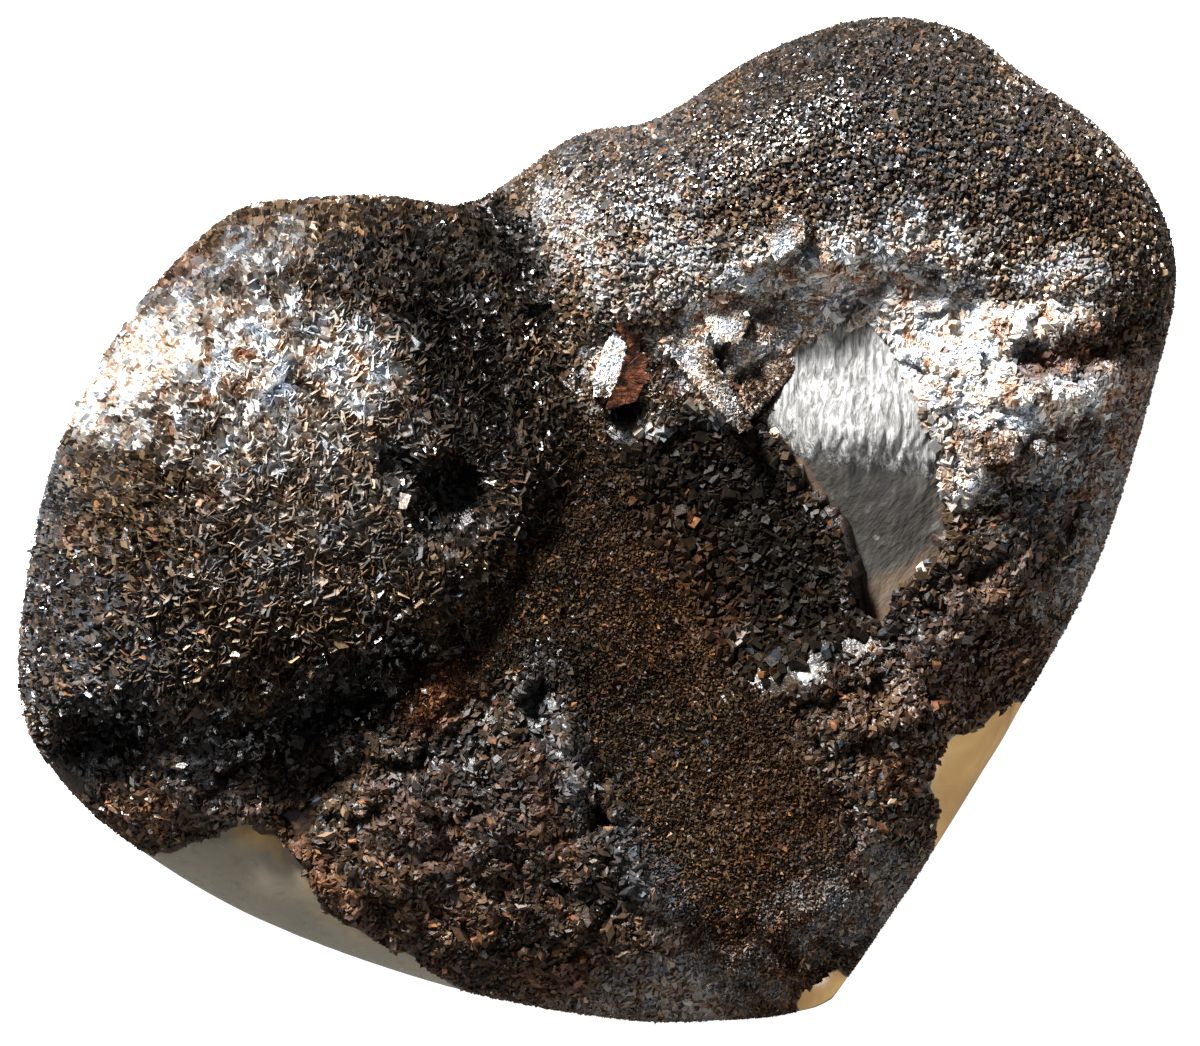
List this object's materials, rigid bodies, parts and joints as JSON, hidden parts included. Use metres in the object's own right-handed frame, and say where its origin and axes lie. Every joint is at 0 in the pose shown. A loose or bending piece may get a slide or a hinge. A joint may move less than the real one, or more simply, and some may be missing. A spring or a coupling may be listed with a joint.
{
  "type": "septarian heart",
  "caption": "Hand-sized heart of septarian stone, polished at the back and sides, with a natural druse face; an ornament that lies on its flat-ground back.",
  "frame": {"origin": "on the flat of the back, under the middle of the outline's box", "axes": "+Z out of the natural face, +X across the lobes, towards the right one as the face is seen, and +Y from the point towards the lobes"},
  "size_m": [0.124, 0.0972, 0.0409],
  "materials": {
    "septarian_stone": "natural calcite druse on the face, polished limestone at the sides and back"
  },
  "bodies": {
    "root": {"septarian_heart": "septarian_stone"}
  },
  "joints": []
}
